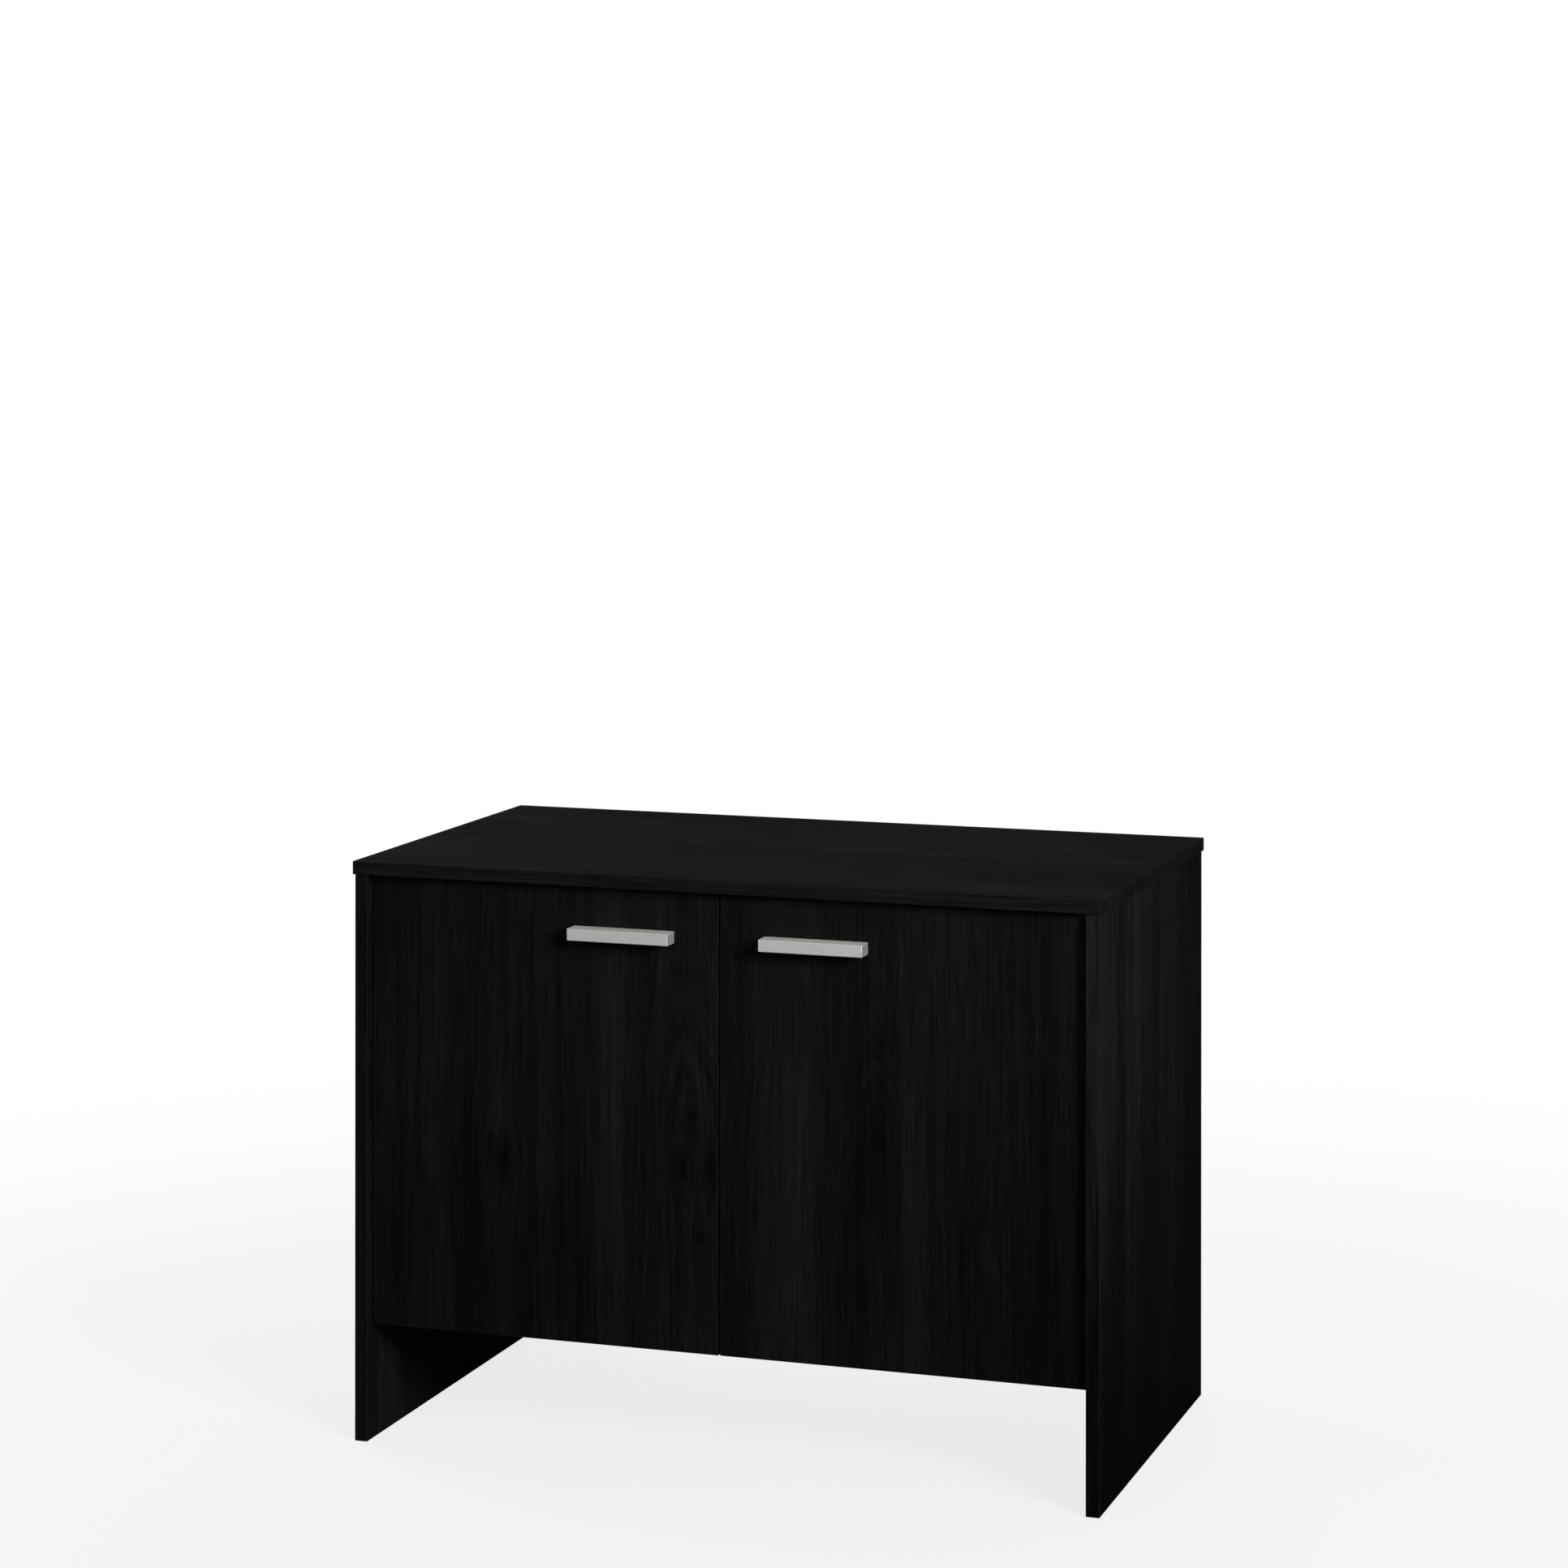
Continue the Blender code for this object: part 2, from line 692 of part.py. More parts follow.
def build_hinge_cup(tag, sign, z, pivot):
    """The turned cup, with a screw wing above and below it."""
    x, face_y = from_side(sign, CUP_FROM_SIDE, 0.0)
    cup = turned(
        "hinge_cup_" + tag, CUP_PROFILE, (x, face_y, z), AXIS_TURN["y"], 24, pivot
    )
    finish(cup, "steel")
    for end, direction in ENDS.items():
        join_box(
            cup,
            f"join_wing_{tag}_{end}",
            (x - WING_HALF_WIDTH, face_y + WING_BEHIND[0], z + direction * WING_ROOT),
            (x + WING_HALF_WIDTH, face_y + WING_BEHIND[1], z + direction * WING_REACH),
        )
    cuts = cutter_group("cuts_hinge_cup_" + tag)
    for end, direction in ENDS.items():
        centre = (x, face_y + WING_HOLE_BEHIND, z + direction * WING_HOLE_OFFSET)
        hole(cuts, f"wing_screw_{tag}_{end}", centre, WING_HOLE_R, 6.0, "y", sides=12)
    cut_all(cup, cuts)


def build_hinge_link(tag, sign, z, link_pivot):
    """The link, which folds into the cup when the door is shut."""
    rest = math.radians(LINK_REST_DEG)
    link_end = (
        ARM_PIVOT[0] + LINK_LENGTH * math.cos(rest),
        ARM_PIVOT[1] + LINK_LENGTH * math.sin(rest),
    )
    width = 2 * LINK_HALF_WIDTH
    link = plan_outline(
        "hinge_link_" + tag,
        arc(ARM_PIVOT, LINK_EYE_R, LINK_REST_DEG + 90, LINK_REST_DEG + 270, 12)
        + arc(link_end, LINK_END_R, LINK_REST_DEG - 90, LINK_REST_DEG + 90, 10),
        width,
        sign,
        z,
    )
    finish(link, "steel")
    centre = (*from_side(sign, *ARM_PIVOT), z)
    cuts = cutter_group("cuts_hinge_link_" + tag)
    hole(cuts, "link_eye_" + tag, centre, HINGE_PIN_HOLE_R, width + 4.0, "z", sides=16)
    cut_all(link, cuts)
    set_origin(link, centre)
    hang_on(link, link_pivot)


def build_hinge_pin(tag, sign, z):
    centre = (*from_side(sign, *ARM_PIVOT), z)
    length = 2 * ARM_HALF_WIDTH + 0.8
    pin = cylinder("hinge_pin_" + tag, centre, HINGE_PIN_R, length, AXIS_TURN["z"], 12)
    finish(pin, "steel")


def build_hinge_arm(tag, sign, z):
    """The cranked arm: an eye at the front, and a flat bar over the plate's rail."""
    width = 2 * ARM_HALF_WIDTH
    points = arc(ARM_PIVOT, ARM_EYE_R, 200.0, 410.0, 12) + ARM_BAR
    arm = plan_outline("hinge_arm_" + tag, points, width, sign, z)
    finish(arm, "steel")
    centre = (*from_side(sign, *ARM_PIVOT), z)
    cuts = cutter_group("cuts_hinge_arm_" + tag)
    # The mouth splits the eye into two cheeks, with room for the link between them.
    mouth = 2 * LINK_HALF_WIDTH + 0.8
    hole(cuts, "arm_mouth_" + tag, centre, ARM_MOUTH_R, mouth, "z", sides=24)
    hole(cuts, "arm_eye_" + tag, centre, HINGE_PIN_HOLE_R, width + 4.0, "z", sides=16)
    for end, behind, radius in ARM_HOLES:
        place = (*from_side(sign, ARM_HOLE_INWARDS, behind), z)
        hole(cuts, f"arm_screw_{end}_{tag}", place, radius, 12.0, "x", sides=16)
    cut_all(arm, cuts)


def build_hinge_plate(tag, sign, z):
    """The mounting plate on the side panel: a rail, and a foot with two screw holes."""

    def corners(inwards, behind, half_height):
        return (
            (*from_side(sign, inwards[0], behind[0]), z - half_height),
            (*from_side(sign, inwards[1], behind[1]), z + half_height),
        )

    rail = corners(RAIL_INWARDS, RAIL_BEHIND, RAIL_HALF_HEIGHT)
    plate = box("hinge_plate_" + tag, *rail)
    finish(plate, "steel")
    foot = corners(FOOT_INWARDS, FOOT_BEHIND, FOOT_HALF_HEIGHT)
    join_box(plate, "join_plate_foot_" + tag, *foot)
    cuts = cutter_group("cuts_hinge_plate_" + tag)
    for end, direction in ENDS.items():
        place = (*from_side(sign, *FOOT_HOLE_PLACE), z + direction * FOOT_HOLE_OFFSET)
        hole(cuts, f"plate_screw_{tag}_{end}", place, FOOT_HOLE_R, 8.0, "x", sides=16)
    cut_all(plate, cuts)


# ---- the whole cabinet --------------------------------------------------------


def build_door_set(side, sign):
    """A door with all that swings with it, and its two hinges."""
    pivot = build_joint(side + "_door_axis", sign * DOOR_HINGE_X, DOOR_FRONT_Y, 0.05)
    link_pivot = build_joint(side + "_link_axis", *from_side(sign, *ARM_PIVOT), 0.02)
    bpy.context.view_layer.update()

    build_door(side, sign, pivot)
    build_handle(side, sign, pivot)
    build_handle_screws(side, sign, pivot)
    build_bumpers(side, sign, pivot)
    for level, z in HINGE_Z.items():
        tag = f"{side}_{level}"
        build_hinge_cup(tag, sign, z, pivot)
        build_hinge_link(tag, sign, z, link_pivot)
        build_hinge_pin(tag, sign, z)
        build_hinge_arm(tag, sign, z)
        build_hinge_plate(tag, sign, z)


build_top_panel()
build_base_panel()
build_centre_divider()
build_back_panel()
for side, sign in SIDES.items():
    build_side_panel(side, sign)
    build_shelf(side, sign)
    build_door_set(side, sign)
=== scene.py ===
import math

import bmesh
import bpy
from mathutils import Matrix, Vector


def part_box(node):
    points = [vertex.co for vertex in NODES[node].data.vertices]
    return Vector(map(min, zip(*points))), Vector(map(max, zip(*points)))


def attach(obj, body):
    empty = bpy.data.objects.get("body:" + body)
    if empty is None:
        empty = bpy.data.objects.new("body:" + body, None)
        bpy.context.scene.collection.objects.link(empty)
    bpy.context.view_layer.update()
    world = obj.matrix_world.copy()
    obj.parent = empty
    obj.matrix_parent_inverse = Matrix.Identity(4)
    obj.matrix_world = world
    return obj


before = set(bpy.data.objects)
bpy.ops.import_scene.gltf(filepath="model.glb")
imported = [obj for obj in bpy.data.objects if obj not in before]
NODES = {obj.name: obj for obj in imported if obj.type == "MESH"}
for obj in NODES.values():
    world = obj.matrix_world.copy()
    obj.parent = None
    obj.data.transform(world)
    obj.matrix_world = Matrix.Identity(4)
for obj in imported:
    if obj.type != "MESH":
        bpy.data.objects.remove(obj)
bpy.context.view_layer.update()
MM = 0.001

# ---- node trees ----------------------------------------------------------------


class Tree:
    """Short hands for building one material's nodes."""

    def __init__(self, name):
        self.material = bpy.data.materials.new(name)
        self.material.use_nodes = True
        self.tree = self.material.node_tree
        self.shader = self.tree.nodes["Principled BSDF"]
        self.out = self.tree.nodes["Material Output"]

    def node(self, kind, **settings):
        made = self.tree.nodes.new(kind)
        for key, value in settings.items():
            setattr(made, key, value)
        return made

    def put(self, socket, value):
        if isinstance(value, bpy.types.NodeSocket):
            self.tree.links.new(value, socket)
        elif isinstance(value, (tuple, list)):
            size = len(socket.default_value)
            socket.default_value = tuple(value) + (1.0,) * (size - len(value))
        else:
            socket.default_value = value

    def math(self, operation, a, b=0.0, c=0.0, clamp=False):
        made = self.node("ShaderNodeMath", operation=operation, use_clamp=clamp)
        for socket, value in zip(made.inputs, (a, b, c)):
            self.put(socket, value)
        return made.outputs[0]

    def add(self, a, b):
        return self.math("ADD", a, b)

    def sub(self, a, b):
        return self.math("SUBTRACT", a, b)

    def mul(self, a, b):
        return self.math("MULTIPLY", a, b)

    def low(self, a, b):
        return self.math("MINIMUM", a, b)

    def high(self, a, b):
        return self.math("MAXIMUM", a, b)

    def position(self):
        return self.node("ShaderNodeTexCoord").outputs["Object"]

    def split(self, vector):
        made = self.node("ShaderNodeSeparateXYZ")
        self.put(made.inputs[0], vector)
        return list(made.outputs)

    def join(self, x, y, z):
        made = self.node("ShaderNodeCombineXYZ")
        for socket, value in zip(made.inputs, (x, y, z)):
            self.put(socket, value)
        return made.outputs[0]

    def noise(self, vector, scale=1.0, detail=2.0, roughness=0.5, distortion=0.0):
        made = self.node("ShaderNodeTexNoise", noise_dimensions="3D")
        self.put(made.inputs["Vector"], vector)
        made.inputs["Scale"].default_value = scale
        made.inputs["Detail"].default_value = detail
        made.inputs["Roughness"].default_value = roughness
        made.inputs["Distortion"].default_value = distortion
        return made.outputs[0]

    def remap(self, value, a, b, c=0.0, d=1.0, smooth=False):
        made = self.node(
            "ShaderNodeMapRange",
            clamp=True,
            interpolation_type="SMOOTHSTEP" if smooth else "LINEAR",
        )
        for socket, given in zip(made.inputs, (value, a, b, c, d)):
            self.put(socket, given)
        return made.outputs[0]

    def ramp(self, value, *stops):
        made = self.node("ShaderNodeValToRGB")
        band = made.color_ramp
        while len(band.elements) < len(stops):
            band.elements.new(0.5)
        for element, (place, colour) in zip(band.elements, stops):
            element.position = place
            element.color = (*colour, 1.0)
        self.put(made.inputs[0], value)
        return made.outputs[0]

    def mix(self, factor, a, b):
        made = self.node("ShaderNodeMix", data_type="RGBA")
        self.put(made.inputs[0], factor)
        self.put(made.inputs[6], a)
        self.put(made.inputs[7], b)
        return made.outputs[2]

    def blend(self, factor, a, b):
        """Value mix."""
        return self.add(a, self.mul(factor, self.sub(b, a)))

    def bump(self, height, distance, strength=1.0):
        made = self.node("ShaderNodeBump")
        self.put(made.inputs["Height"], height)
        made.inputs["Distance"].default_value = distance
        made.inputs["Strength"].default_value = strength
        return made.outputs[0]

    def set(self, **inputs):
        for key, value in inputs.items():
            self.put(self.shader.inputs[key.replace("_", " ")], value)


def gauss(t, dx, dz, radius):
    """exp(-(dx^2 + dz^2) / radius^2)"""
    squared = t.add(t.mul(dx, dx), t.mul(dz, dz))
    return t.math("EXPONENT", t.mul(squared, -1.0 / radius**2))


# ---- black wood-grain board ------------------------------------------------------


def board_material(
    node,
    along,
    across,
    seed,
    flames=(),
    knots=(),
    bright=1.0,
    tone=(),
    patches=(),
    painted_shade_slope=(0.0, 0.0),
    shine=0.05,
):
    """Foil-faced board: grain along one axis, with growth-ring flames, knots and edging.

    flames are (across share, along share, width, reach up or down) of the board's
    box, knots are (across share, along share, radius), and tone holds soft light or
    dark bands as (across share, half width, gain). patches are soft light or dark
    ovals, (across share, along share, half width, half length, gain). lean paints
    shade into the foil: darker steadily towards the board's low end along the grain,
    and towards its high side across it, in place of light falling off there.
    shine is the lacquer's share of mirror reflection.
    """
    t = Tree(node + "_foil")
    low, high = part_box(node)
    place = t.position()
    xyz = t.split(place)
    depth_axis = 3 - along - across
    a0, a1 = low[across], high[across]
    l0, l1 = low[along], high[along]
    deep = t.mul(t.sub(xyz[depth_axis], low[depth_axis]), 0.83)
    a = t.add(xyz[across], deep)
    g = xyz[along]

    # The grain swings round knots and wanders slowly along the board.
    for u, w, radius in knots:
        da = t.sub(a, a0 + u * (a1 - a0))
        dl = t.mul(t.sub(g, l0 + w * (l1 - l0)), 0.36)
        pull = t.mul(gauss(t, da, dl, radius * 2.6), 0.74)
        a = t.sub(a, t.mul(da, pull))
    wander = t.noise(
        t.join(t.add(t.mul(a, 5.0), seed * 3.7), t.mul(g, 2.1), seed), 1.0, 2.0, 0.5
    )
    a = t.add(a, t.mul(t.sub(wander, 0.5), 0.022))
    shiver = t.noise(
        t.join(t.mul(a, 38.0), t.mul(g, 13.0), seed + 2.0), 1.0, 2.0, 0.55
    )
    a = t.add(a, t.mul(t.sub(shiver, 0.5), 0.0022))

    def grain(per_across, per_along, offset, detail=3.0, roughness=0.55, warp=0.0):
        return t.noise(
            t.join(
                t.add(t.mul(a, per_across), seed * 1.31 + offset),
                t.mul(g, per_along),
                seed * 0.7 + offset,
            ),
            1.0,
            detail,
            roughness,
            warp,
        )

    bands = grain(19.0, 0.75, 1.0, 3.0, 0.5)
    cloud = grain(6.0, 3.0, 7.0, 2.0, 0.5)
    streaks = grain(80.0, 2.2, 13.0, 4.0, 0.6)
    threads = grain(270.0, 6.5, 19.0, 3.0, 0.66)
    fibre = grain(560.0, 17.0, 29.0, 2.0, 0.6)
    ticks = grain(900.0, 42.0, 41.0, 1.0, 0.5)

    value = t.add(0.5, t.mul(t.sub(bands, 0.5), 0.72))
    value = t.add(value, t.mul(t.sub(cloud, 0.5), 0.42))
    value = t.add(value, t.mul(t.sub(streaks, 0.5), 0.44))
    value = t.add(value, t.mul(t.sub(threads, 0.5), 0.86))

    # Plain-sawn flames: the face cuts cone-shaped growth rings off centre.
    for u, w, width, reach in flames:
        da = t.sub(a, a0 + u * (a1 - a0))
        dl = t.sub(g, l0 + w * (l1 - l0))
        shake = t.noise(
            t.join(t.mul(a, 24.0), t.mul(g, 6.0), seed + u * 9.0), 1.0, 3.0, 0.6
        )
        sway = t.noise(t.join(seed, t.mul(g, 4.0), u * 7.0), 1.0, 2.0, 0.5)
        da = t.add(da, t.mul(t.sub(sway, 0.5), 0.036))
        cone = t.add(
            t.add(0.040, t.mul(dl, 0.15 * (1 if reach > 0 else -1))),
            t.mul(t.sub(shake, 0.5), 0.017),
        )
        rings = t.math("SQRT", t.add(t.mul(da, da), t.mul(cone, cone)))
        wave = t.noise(
            t.join(t.mul(rings, 250.0), t.mul(g, 0.9), t.add(t.mul(a, 2.0), seed)),
            1.0,
            3.0,
            0.60,
        )
        here = gauss(t, t.mul(da, 1.0 / width), t.mul(dl, 1.0 / abs(reach)), 1.0)
        value = t.add(value, t.mul(t.mul(t.sub(wave, 0.53), here), 1.15))

    for u, w, radius in knots:
        da = t.sub(xyz[across], a0 + u * (a1 - a0))
        dl = t.mul(t.sub(g, l0 + w * (l1 - l0)), 0.45)
        rough = t.mul(
            t.sub(
                t.noise(t.join(t.mul(da, 90.0), t.mul(dl, 90.0), seed), 1.0, 2.0, 0.6),
                0.5,
            ),
            radius * 0.9,
        )
        away = t.add(
            t.math("SQRT", t.add(t.mul(da, da), t.mul(dl, dl))), rough
        )
        heart = t.remap(away, radius * 0.25, radius * 1.15, 1.0, 0.0, smooth=True)
        halo = t.remap(away, radius * 0.9, radius * 3.4, 1.0, 0.0, smooth=True)
        value = t.sub(value, t.add(t.mul(heart, 0.24), t.mul(halo, 0.12)))

    for u, half, gain in tone:
        da = t.sub(xyz[across], a0 + u * (a1 - a0))
        value = t.add(
            value, t.mul(t.math("EXPONENT", t.mul(t.mul(da, da), -1.0 / half**2)), gain)
        )

    for u, w, half_a, half_l, gain in patches:
        da = t.mul(t.sub(xyz[across], a0 + u * (a1 - a0)), 1.0 / half_a)
        dl = t.mul(t.sub(g, l0 + w * (l1 - l0)), 1.0 / half_l)
        value = t.add(value, t.mul(gauss(t, da, dl, 1.0), gain))

    # Faint cross ripple inside the paler bands.
    ripple = t.noise(
        t.join(t.mul(a, 42.0), t.mul(g, 125.0), seed + 11.0), 1.0, 2.0, 0.6
    )
    value = t.add(
        value,
        t.mul(t.mul(t.sub(ripple, 0.5), t.remap(bands, 0.48, 0.66)), 0.30),
    )
    value = t.add(value, t.mul(t.sub(fibre, 0.5), 0.76))
    pores = t.remap(ticks, 0.30, 0.40, 1.0, 0.0, smooth=True)
    value = t.sub(value, t.mul(pores, 0.16))
    # Painted shade: the foil darkens towards the board's low end and its high side, standing in for light
    # falling off there.
    if painted_shade_slope[0]:
        value = t.sub(
            value, t.remap(g, l0, l0 + 0.85 * (l1 - l0), painted_shade_slope[0], 0.0, smooth=True)
        )
    if painted_shade_slope[1]:
        value = t.sub(
            value,
            t.remap(xyz[across], a0 + 0.45 * (a1 - a0), a1, 0.0, painted_shade_slope[1], smooth=True),
        )
    value = t.math("MULTIPLY", value, 1.0, clamp=True)

    foil = t.ramp(
        value,
        (0.0, (0.0012 * bright,) * 3),
        (0.32, (0.0042 * bright,) * 3),
        (0.62, (0.0090 * bright,) * 3),
        (1.0, (0.0185 * bright,) * 3),
    )

    # Distance to the board's nearest edge, and whether the point is inside a drilled hole.
    gaps = [
        t.low(t.sub(xyz[i], low[i]), t.sub(high[i], xyz[i])) for i in range(3)
    ]
    first = t.low(gaps[0], gaps[1])
    second = t.high(gaps[0], gaps[1])
    to_edge = t.high(first, t.low(second, gaps[2]))
    inside = t.remap(t.low(first, gaps[2]), 0.00042, 0.0005)
    # Paler colour along each edge, partly rubbed edging and partly a painted highlight on the arris.
    rub_and_glint = t.noise(t.mul_vector(place, 55.0), 1.0, 3.0, 0.6)
    worn_and_highlit = t.mul(
        t.remap(to_edge, 0.00025, 0.0009, 1.0, 0.0, smooth=True),
        t.remap(rub_and_glint, 0.30, 0.75, 0.35, 1.0),
    )
    foil = t.mix(t.mul(worn_and_highlit, 0.8), foil, (0.0175 * bright,) * 3)
    # The glue line of the edging tape shows as a hairline beside each edge.
    seam = t.mul(
        t.remap(to_edge, 0.0010, 0.0013, 0.0, 1.0),
        t.remap(to_edge, 0.0013, 0.0017, 1.0, 0.0),
    )
    foil = t.mix(t.mul(seam, 0.45), foil, (0.0012, 0.0012, 0.0012))

    # Raw particle board shows where the board is drilled.
    chips = t.noise(t.mul_vector(place, 620.0), 1.0, 3.0, 0.65)
    raw = t.ramp(
        chips,
        (0.30, (0.075, 0.043, 0.021)),
        (0.50, (0.27, 0.175, 0.095)),
        (0.72, (0.47, 0.335, 0.20)),
    )
    colour = t.mix(inside, foil, raw)

    sheen = t.noise(t.mul_vector(place, 7.0), 1.0, 3.0, 0.55)
    rough = t.add(
        t.add(0.40, t.mul(t.sub(1.0, fibre), 0.10)),
        t.add(t.mul(sheen, 0.10), t.mul(pores, 0.10)),
    )
    rough = t.blend(inside, rough, 0.9)
    relief = t.sub(t.mul(fibre, 0.6), t.mul(pores, 0.8))
    relief = t.add(relief, t.mul(streaks, 0.35))
    relief = t.blend(inside, relief, t.mul(chips, 3.0))
    t.set(
        Base_Color=colour,
        Roughness=rough,
        Specular_IOR_Level=shine,
        Normal=t.bump(relief, 0.00006, 0.55),
    )
    return t.material


def mul_vector(self, vector, amount):
    made = self.node("ShaderNodeVectorMath", operation="SCALE")
    self.put(made.inputs[0], vector)
    made.inputs["Scale"].default_value = amount
    return made.outputs[0]


Tree.mul_vector = mul_vector

# ---- metals, rubber, hardboard -----------------------------------------------------


def handle_material(node):
    """Satin brushed metal: fine lines along the bar, mottling, and painted highlights on the broken edges.
    """
    t = Tree(node + "_satin")
    low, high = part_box(node)
    place = t.position()
    x, y, z = t.split(place)
    lines = t.noise(
        t.join(t.mul(x, 26.0), t.mul(y, 2600.0), t.mul(z, 2600.0)), 1.0, 3.0, 0.6
    )
    mottle = t.noise(
        t.join(t.mul(x, 240.0), t.mul(y, 520.0), t.mul(z, 520.0)), 1.0, 3.0, 0.6
    )
    cloud = t.noise(
        t.join(t.mul(x, 22.0), t.mul(y, 60.0), t.mul(z, 60.0)), 1.0, 2.0, 0.5
    )
    gaps = [
        t.low(t.sub(v, low[i]), t.sub(high[i], v)) for i, v in enumerate((x, y, z))
    ]
    to_edge = t.high(
        t.low(gaps[0], gaps[1]), t.low(t.high(gaps[0], gaps[1]), gaps[2])
    )
    # Painted highlight: the near-white colour laid along the broken edges below stands in for the light they
    # catch.
    bright = t.remap(to_edge, 0.0006, 0.0012, 1.0, 0.0, smooth=True)
    value = t.add(
        t.mul(t.sub(lines, 0.5), 0.30),
        t.add(t.mul(t.sub(mottle, 0.5), 0.24), t.mul(t.sub(cloud, 0.5), 0.14)),
    )
    body = t.ramp(
        t.add(0.5, value),
        (0.25, (0.56, 0.56, 0.56)),
        (0.5, (0.67, 0.67, 0.67)),
        (0.75, (0.78, 0.78, 0.78)),
    )
    # Painted reflection and shade: the upper face is tinted warmer than the front as a painted reflection,
    # and the ends are painted a darker, cooler shade.
    upper = t.remap(z, high[2] - 0.0006, high[2] - 0.0003)
    body = t.mix(t.mul(upper, 0.8), body, (1.0, 0.95, 0.87))
    end = t.remap(t.low(t.sub(x, low[0]), t.sub(high[0], x)), 0.0003, 0.0006, 1.0, 0.0)
    body = t.mix(t.mul(end, 0.75), body, (0.17, 0.22, 0.235))
    colour = t.mix(bright, body, (0.95, 0.95, 0.94))
    rough = t.add(0.36, t.mul(t.sub(lines, 0.5), 0.16))
    rough = t.blend(bright, rough, 0.22)
    t.set(
        Base_Color=colour,
        Metallic=t.blend(bright, 0.12, 0.5),
        Roughness=rough,
        Anisotropic=0.35,
        Normal=t.bump(t.add(lines, t.mul(mottle, 0.5)), 0.00003, 0.5),
    )
    return t.material


def metal_material(name, dark, pale, rough, scale=90.0, lines=(1.0, 1.0, 1.0), wear=0.2):
    """Plated or cast metal with faint drawing lines, stains and rubbed spots."""
    t = Tree(name)
    place = t.position()
    x, y, z = t.split(place)
    drawn = t.noise(
        t.join(t.mul(x, 700.0 * lines[0]), t.mul(y, 700.0 * lines[1]), t.mul(z, 700.0 * lines[2])),
        1.0,
        2.0,
        0.6,
    )
    stain = t.noise(t.mul_vector(place, scale), 1.0, 4.0, 0.6)
    pits = t.noise(t.mul_vector(place, 2400.0), 1.0, 2.0, 0.6)
    mixed = t.add(t.mul(drawn, 0.35), t.add(t.mul(stain, 0.45), t.mul(pits, 0.2)))
    colour = t.ramp(mixed, (0.3, dark), (0.7, pale))
    t.set(
        Base_Color=colour,
        Metallic=0.62,
        Roughness=t.add(rough, t.mul(t.sub(stain, 0.4), wear)),
        Normal=t.bump(t.add(drawn, pits), 0.00003, 0.5),
    )
    return t.material


def rubber_material(name):
    t = Tree(name)
    place = t.position()
    haze = t.noise(t.mul_vector(place, 380.0), 1.0, 3.0, 0.6)
    dust = t.noise(t.mul_vector(place, 1500.0), 1.0, 2.0, 0.6)
    t.set(
        Base_Color=t.ramp(haze, (0.35, (0.42, 0.42, 0.40)), (0.65, (0.62, 0.62, 0.59))),
        Roughness=t.add(0.28, t.mul(dust, 0.25)),
        Subsurface_Weight=0.35,
        Transmission_Weight=0.35,
        Normal=t.bump(dust, 0.00002, 0.4),
    )
    t.shader.inputs["Subsurface Radius"].default_value = (0.002, 0.002, 0.002)
    return t.material


def hardboard_material(node):
    """Painted hardboard: flat black face with faint fibre flecks and rolled sheen."""
    t = Tree(node + "_face")
    low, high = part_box(node)
    place = t.position()
    x, y, z = t.split(place)
    flecks = t.noise(
        t.join(t.mul(x, 260.0), t.mul(y, 260.0), t.mul(z, 120.0)), 1.0, 4.0, 0.7
    )
    hairs = t.noise(
        t.join(t.mul(x, 90.0), t.mul(y, 90.0), t.mul(z, 700.0)), 1.0, 3.0, 0.65, 1.5
    )
    cloud = t.noise(t.mul_vector(place, 5.0), 1.0, 3.0, 0.5)
    value = t.add(
        t.add(0.5, t.mul(t.sub(flecks, 0.5), 0.7)),
        t.add(t.mul(t.sub(cloud, 0.5), 0.5), t.mul(t.sub(hairs, 0.5), 0.5)),
    )
    face = t.ramp(
        value,
        (0.2, (0.0055, 0.0053, 0.0050)),
        (0.55, (0.0115, 0.0110, 0.0104)),
        (0.9, (0.021, 0.0200, 0.0188)),
    )
    gaps = [
        t.low(t.sub(v, low[i]), t.sub(high[i], v)) for i, v in enumerate((x, y, z))
    ]
    # Sawn edges and the cable holes' walls show brown fibre.
    cut = t.mul(
        t.remap(gaps[1], 0.00025, 0.0004),
        1.0,
    )
    brown = t.ramp(flecks, (0.3, (0.045, 0.026, 0.014)), (0.7, (0.13, 0.078, 0.042)))
    t.set(
        Base_Color=t.mix(cut, face, brown),
        Roughness=t.add(0.52, t.mul(flecks, 0.16)),
        Specular_IOR_Level=0.25,
        Normal=t.bump(t.add(flecks, hairs), 0.00008, 0.5),
    )
    return t.material


# ---- the carried-over nodes -----------------------------------------------------------


def dress(node, material, edge=0.0, segments=2, angle=40.0):
    """Material, welded seams and eased edges on a CAD node."""
    obj = NODES[node]
    mesh = obj.data
    mesh.materials.clear()
    mesh.materials.append(material)
    for poly in mesh.polygons:
        poly.material_index = 0
    weld = obj.modifiers.new("weld", "WELD")
    weld.merge_threshold = 0.000004
    if edge:
        # One face for each flat area, so that the eased edges leave no slivers.
        plane = obj.modifiers.new("flat_areas", "DECIMATE")
        plane.decimate_type = "DISSOLVE"
        plane.angle_limit = math.radians(0.6)
        bevel = obj.modifiers.new("eased", "BEVEL")
        bevel.width = edge
        bevel.segments = segments
        bevel.limit_method = "ANGLE"
        bevel.angle_limit = math.radians(angle)
        bevel.harden_normals = False
        bevel.use_clamp_overlap = True
    smooth = obj.modifiers.new("shade", "NODES")
    smooth.node_group = smooth_group()
    flat = obj.modifiers.new("flat_faces", "WEIGHTED_NORMAL")
    flat.mode = "FACE_AREA"
    flat.weight = 100
    flat.keep_sharp = True


